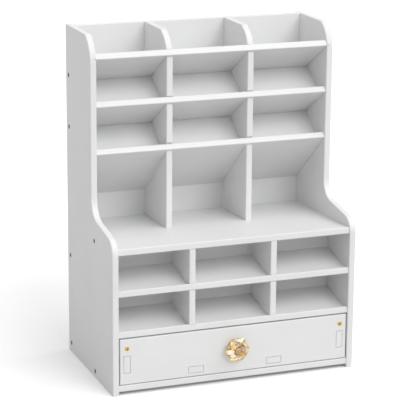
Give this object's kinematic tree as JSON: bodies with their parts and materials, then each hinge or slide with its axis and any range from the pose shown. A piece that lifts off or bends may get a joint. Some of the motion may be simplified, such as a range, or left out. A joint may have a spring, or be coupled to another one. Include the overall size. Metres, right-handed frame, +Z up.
{
  "type": "desk organizer",
  "caption": "White stepped desk organizer with open bins, slanted pockets, a middle ledge, sloping lower cells and a bottom drawer with a faceted crystal knob.",
  "frame": {"origin": "centre of the whole object's box, knob included, on the ground", "axes": "+Z up, +X to the object's left-to-right as seen from the front, front faces -Y, so the drawer opens towards -Y"},
  "size_m": [0.32, 0.1994, 0.429],
  "materials": {
    "white_board": "smooth white satin coating on board",
    "dark_screw": "dark zinc countersunk heads",
    "brass": "polished",
    "amber_crystal": "cut and polished"
  },
  "bodies": {
    "cabinet": {"left_side_panel": "white_board", "right_side_panel": "white_board", "back_panel": "white_board", "bottom_panel": "white_board", "desk_panel": "white_board", "top_slant_shelf": "white_board", "middle_slant_shelf": "white_board", "low_slant_shelf": "white_board", "tall_divider_left": "white_board", "tall_divider_right": "white_board", "desk_divider_left": "white_board", "desk_divider_right": "white_board", "top_pocket_floors": "white_board", "low_pocket_floors": "white_board", "lower_shelf_floor": "white_board", "drawer_shelf_floor": "white_board", "lower_shelf_lip": "white_board", "drawer_shelf_lip": "white_board", "lower_back_board": "white_board", "lower_divider_left": "white_board", "lower_divider_right": "white_board", "drawer_guide_left": "white_board", "drawer_guide_right": "white_board", "left_side_screws": "dark_screw", "right_side_screws": "dark_screw"},
    "drawer": {"drawer_front": "white_board", "drawer_side_left": "white_board", "drawer_side_right": "white_board", "drawer_floor": "white_board", "drawer_back": "white_board", "drawer_front_screws": "brass", "knob_base": "brass", "knob_crystal": "amber_crystal", "knob_screw": "brass"}
  },
  "joints": [
    {"name": "drawer_slide", "type": "slide", "parent": "cabinet", "child": "drawer", "axis": [0, -1, 0], "range_m": [0, 0.12]}
  ]
}
